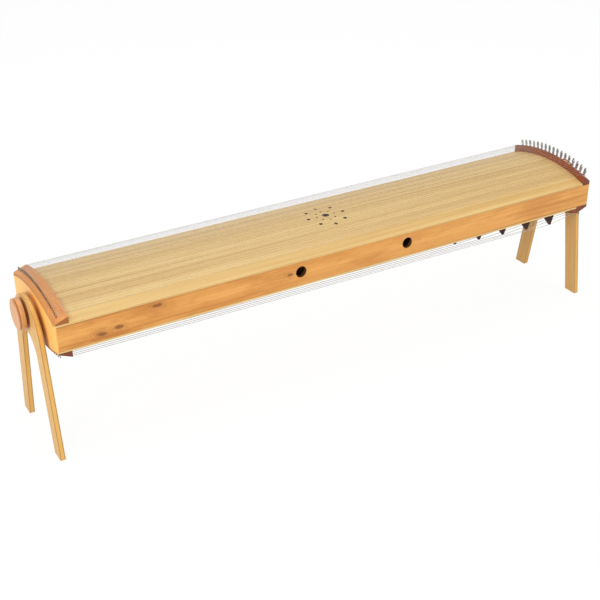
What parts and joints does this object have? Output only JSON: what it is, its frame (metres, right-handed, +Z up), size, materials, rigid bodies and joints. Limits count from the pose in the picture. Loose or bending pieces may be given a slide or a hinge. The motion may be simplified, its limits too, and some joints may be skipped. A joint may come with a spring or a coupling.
{
  "type": "double-sided box zither on stands",
  "caption": "Long box zither strung on both arched faces, clamped between two wishbone stands in which it turns over; movable bridges under the lower strings.",
  "frame": {"origin": "on the floor, under the middle of the box and between the two stands", "axes": "+X along the box towards the tuning pins, +Z up, -Y towards the viewer"},
  "size_m": [1.4818, 0.262, 0.378],
  "materials": {
    "soundboard_spruce": "satin oiled spruce, straight lengthwise grain",
    "body_alder": "satin oiled alder",
    "stand_alder": "satin oiled alder, grain along the legs",
    "strip_cherry": "satin oiled cherry",
    "strip_padauk": "satin oiled dark red hardwood",
    "knob_cherry": "turned and oiled cherry",
    "bridge_rosewood": "polished near-black hardwood",
    "inner_spruce": "raw spruce",
    "steel": "plain bright steel",
    "brass": "turned brass",
    "washer_leather": "dark leather"
  },
  "bodies": {
    "left_stand": {"left_stand_board": "stand_alder", "left_bushing": "brass"},
    "right_stand": {"right_stand_board": "stand_alder", "right_bushing": "brass"},
    "left_clamp": {"left_knob": "knob_cherry", "left_stud": "steel", "left_washer": "washer_leather"},
    "right_clamp": {"right_knob": "knob_cherry", "right_stud": "steel", "right_washer": "washer_leather"},
    "soundbox": {"top_soundboard": "soundboard_spruce", "bottom_soundboard": "soundboard_spruce", "near_side": "body_alder", "far_side": "body_alder", "left_end_block": "body_alder", "right_end_block": "body_alder", "near_top_lining": "inner_spruce", "near_bottom_lining": "inner_spruce", "far_top_lining": "inner_spruce", "far_bottom_lining": "inner_spruce", "top_brace_1": "inner_spruce", "top_brace_2": "inner_spruce", "bottom_brace_1": "inner_spruce", "bottom_brace_2": "inner_spruce", "top_hitch_strip": "strip_cherry", "top_tuning_strip": "strip_padauk", "bottom_hitch_strip": "strip_padauk", "bottom_tuning_strip": "strip_padauk", "drone_bridge": "bridge_rosewood", "koto_string_01": "steel", "koto_string_02": "steel", "koto_string_03": "steel", "koto_string_04": "steel", "koto_string_05": "steel", "koto_string_06": "steel", "koto_string_07": "steel", "koto_string_08": "steel", "koto_string_09": "steel", "koto_string_10": "steel", "koto_string_11": "steel", "koto_string_12": "steel", "koto_string_13": "steel", "left_spacer": "strip_cherry", "right_spacer": "strip_cherry", "left_insert": "brass", "right_insert": "brass"},
    "bridge_01": {"koto_bridge_01": "bridge_rosewood"},
    "bridge_02": {"koto_bridge_02": "bridge_rosewood"},
    "bridge_03": {"koto_bridge_03": "bridge_rosewood"},
    "bridge_04": {"koto_bridge_04": "bridge_rosewood"},
    "bridge_05": {"koto_bridge_05": "bridge_rosewood"},
    "bridge_06": {"koto_bridge_06": "bridge_rosewood"},
    "bridge_07": {"koto_bridge_07": "bridge_rosewood"},
    "bridge_08": {"koto_bridge_08": "bridge_rosewood"},
    "bridge_09": {"koto_bridge_09": "bridge_rosewood"},
    "bridge_10": {"koto_bridge_10": "bridge_rosewood"},
    "bridge_11": {"koto_bridge_11": "bridge_rosewood"},
    "bridge_12": {"koto_bridge_12": "bridge_rosewood"},
    "bridge_13": {"koto_bridge_13": "bridge_rosewood"}
  },
  "joints": [
    {"name": "soundbox_turn", "type": "hinge", "parent": "left_stand", "child": "soundbox", "pos_m": [-0.71425, 0, 0.3], "axis": [1, 0, 0], "range_deg": [-180, 180]},
    {"name": "right_stand_turn", "type": "hinge", "parent": "soundbox", "child": "right_stand", "pos_m": [0.71425, 0, 0.3], "axis": [1, 0, 0], "range_deg": [-180, 180]},
    {"name": "left_knob_turn", "type": "hinge", "parent": "soundbox", "child": "left_clamp", "pos_m": [-0.733, 0, 0.3], "axis": [-1, 0, 0], "range_deg": [0, 360]},
    {"name": "right_knob_turn", "type": "hinge", "parent": "soundbox", "child": "right_clamp", "pos_m": [0.733, 0, 0.3], "axis": [1, 0, 0], "range_deg": [0, 360]},
    {"name": "bridge_01_slide", "type": "slide", "parent": "soundbox", "child": "bridge_01", "axis": [1, 0, 0], "range_m": [-1.236, 0.059], "deforming": ["koto_string_01"]},
    {"name": "bridge_02_slide", "type": "slide", "parent": "soundbox", "child": "bridge_02", "axis": [1, 0, 0], "range_m": [-1.172, 0.123], "deforming": ["koto_string_02"]},
    {"name": "bridge_03_slide", "type": "slide", "parent": "soundbox", "child": "bridge_03", "axis": [1, 0, 0], "range_m": [-1.108, 0.187], "deforming": ["koto_string_03"]},
    {"name": "bridge_04_slide", "type": "slide", "parent": "soundbox", "child": "bridge_04", "axis": [1, 0, 0], "range_m": [-1.044, 0.251], "deforming": ["koto_string_04"]},
    {"name": "bridge_05_slide", "type": "slide", "parent": "soundbox", "child": "bridge_05", "axis": [1, 0, 0], "range_m": [-0.98, 0.315], "deforming": ["koto_string_05"]},
    {"name": "bridge_06_slide", "type": "slide", "parent": "soundbox", "child": "bridge_06", "axis": [1, 0, 0], "range_m": [-0.916, 0.379], "deforming": ["koto_string_06"]},
    {"name": "bridge_07_slide", "type": "slide", "parent": "soundbox", "child": "bridge_07", "axis": [1, 0, 0], "range_m": [-0.852, 0.443], "deforming": ["koto_string_07"]},
    {"name": "bridge_08_slide", "type": "slide", "parent": "soundbox", "child": "bridge_08", "axis": [1, 0, 0], "range_m": [-0.788, 0.507], "deforming": ["koto_string_08"]},
    {"name": "bridge_09_slide", "type": "slide", "parent": "soundbox", "child": "bridge_09", "axis": [1, 0, 0], "range_m": [-0.724, 0.571], "deforming": ["koto_string_09"]},
    {"name": "bridge_10_slide", "type": "slide", "parent": "soundbox", "child": "bridge_10", "axis": [1, 0, 0], "range_m": [-0.66, 0.635], "deforming": ["koto_string_10"]},
    {"name": "bridge_11_slide", "type": "slide", "parent": "soundbox", "child": "bridge_11", "axis": [1, 0, 0], "range_m": [-0.596, 0.699], "deforming": ["koto_string_11"]},
    {"name": "bridge_12_slide", "type": "slide", "parent": "soundbox", "child": "bridge_12", "axis": [1, 0, 0], "range_m": [-0.532, 0.763], "deforming": ["koto_string_12"]},
    {"name": "bridge_13_slide", "type": "slide", "parent": "soundbox", "child": "bridge_13", "axis": [1, 0, 0], "range_m": [-0.468, 0.827], "deforming": ["koto_string_13"]}
  ],
  "couplings": [
    {"joint": "right_stand_turn", "follows": "soundbox_turn", "ratio": -1}
  ]
}
